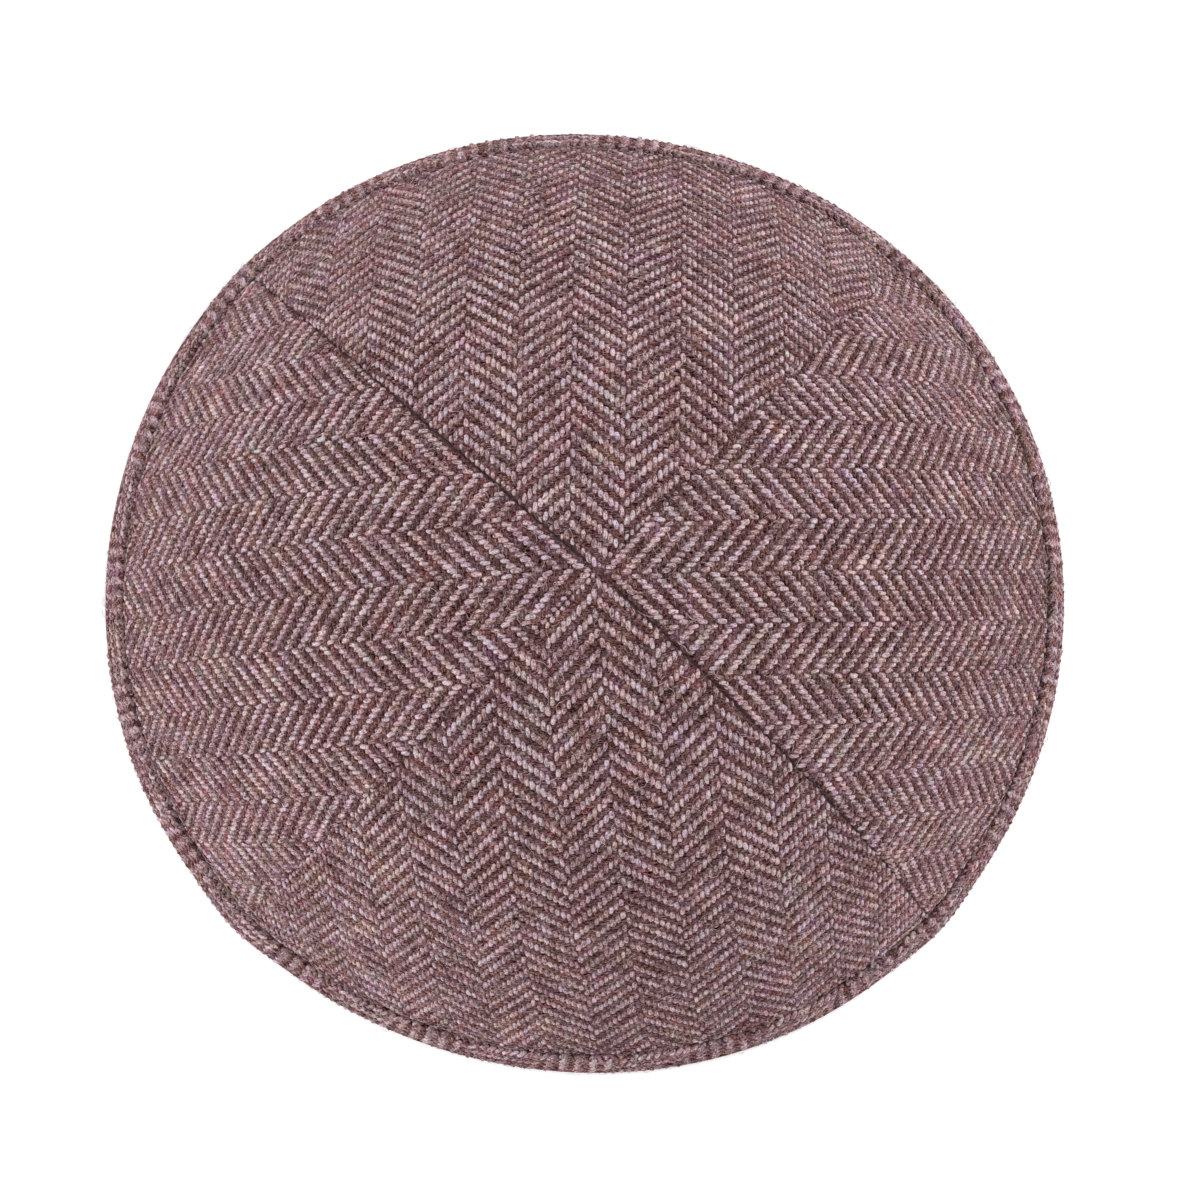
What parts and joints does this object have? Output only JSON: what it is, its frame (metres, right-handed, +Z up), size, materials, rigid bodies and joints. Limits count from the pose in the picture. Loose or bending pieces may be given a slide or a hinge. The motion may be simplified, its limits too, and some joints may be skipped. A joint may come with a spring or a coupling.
{
  "type": "kippah",
  "caption": "Round skullcap of triangular herringbone tweed panels sewn to a dome, with a bias-cut binding folded round its rim.",
  "frame": {"origin": "middle of the rim, on the plane that the rim rests on", "axes": "+Z up out of the crown, +Y towards the back panel, +X towards the right panel"},
  "size_m": [0.1713, 0.1682, 0.0726],
  "materials": {
    "panel_tweed": "matte woolly herringbone tweed, pale pink warp on dark maroon weft",
    "binding_tweed": "the same tweed cut on the bias and folded"
  },
  "bodies": {
    "root": {"panel_right": "panel_tweed", "panel_back": "panel_tweed", "panel_left": "panel_tweed", "panel_front": "panel_tweed", "edge_binding": "binding_tweed"}
  },
  "joints": []
}
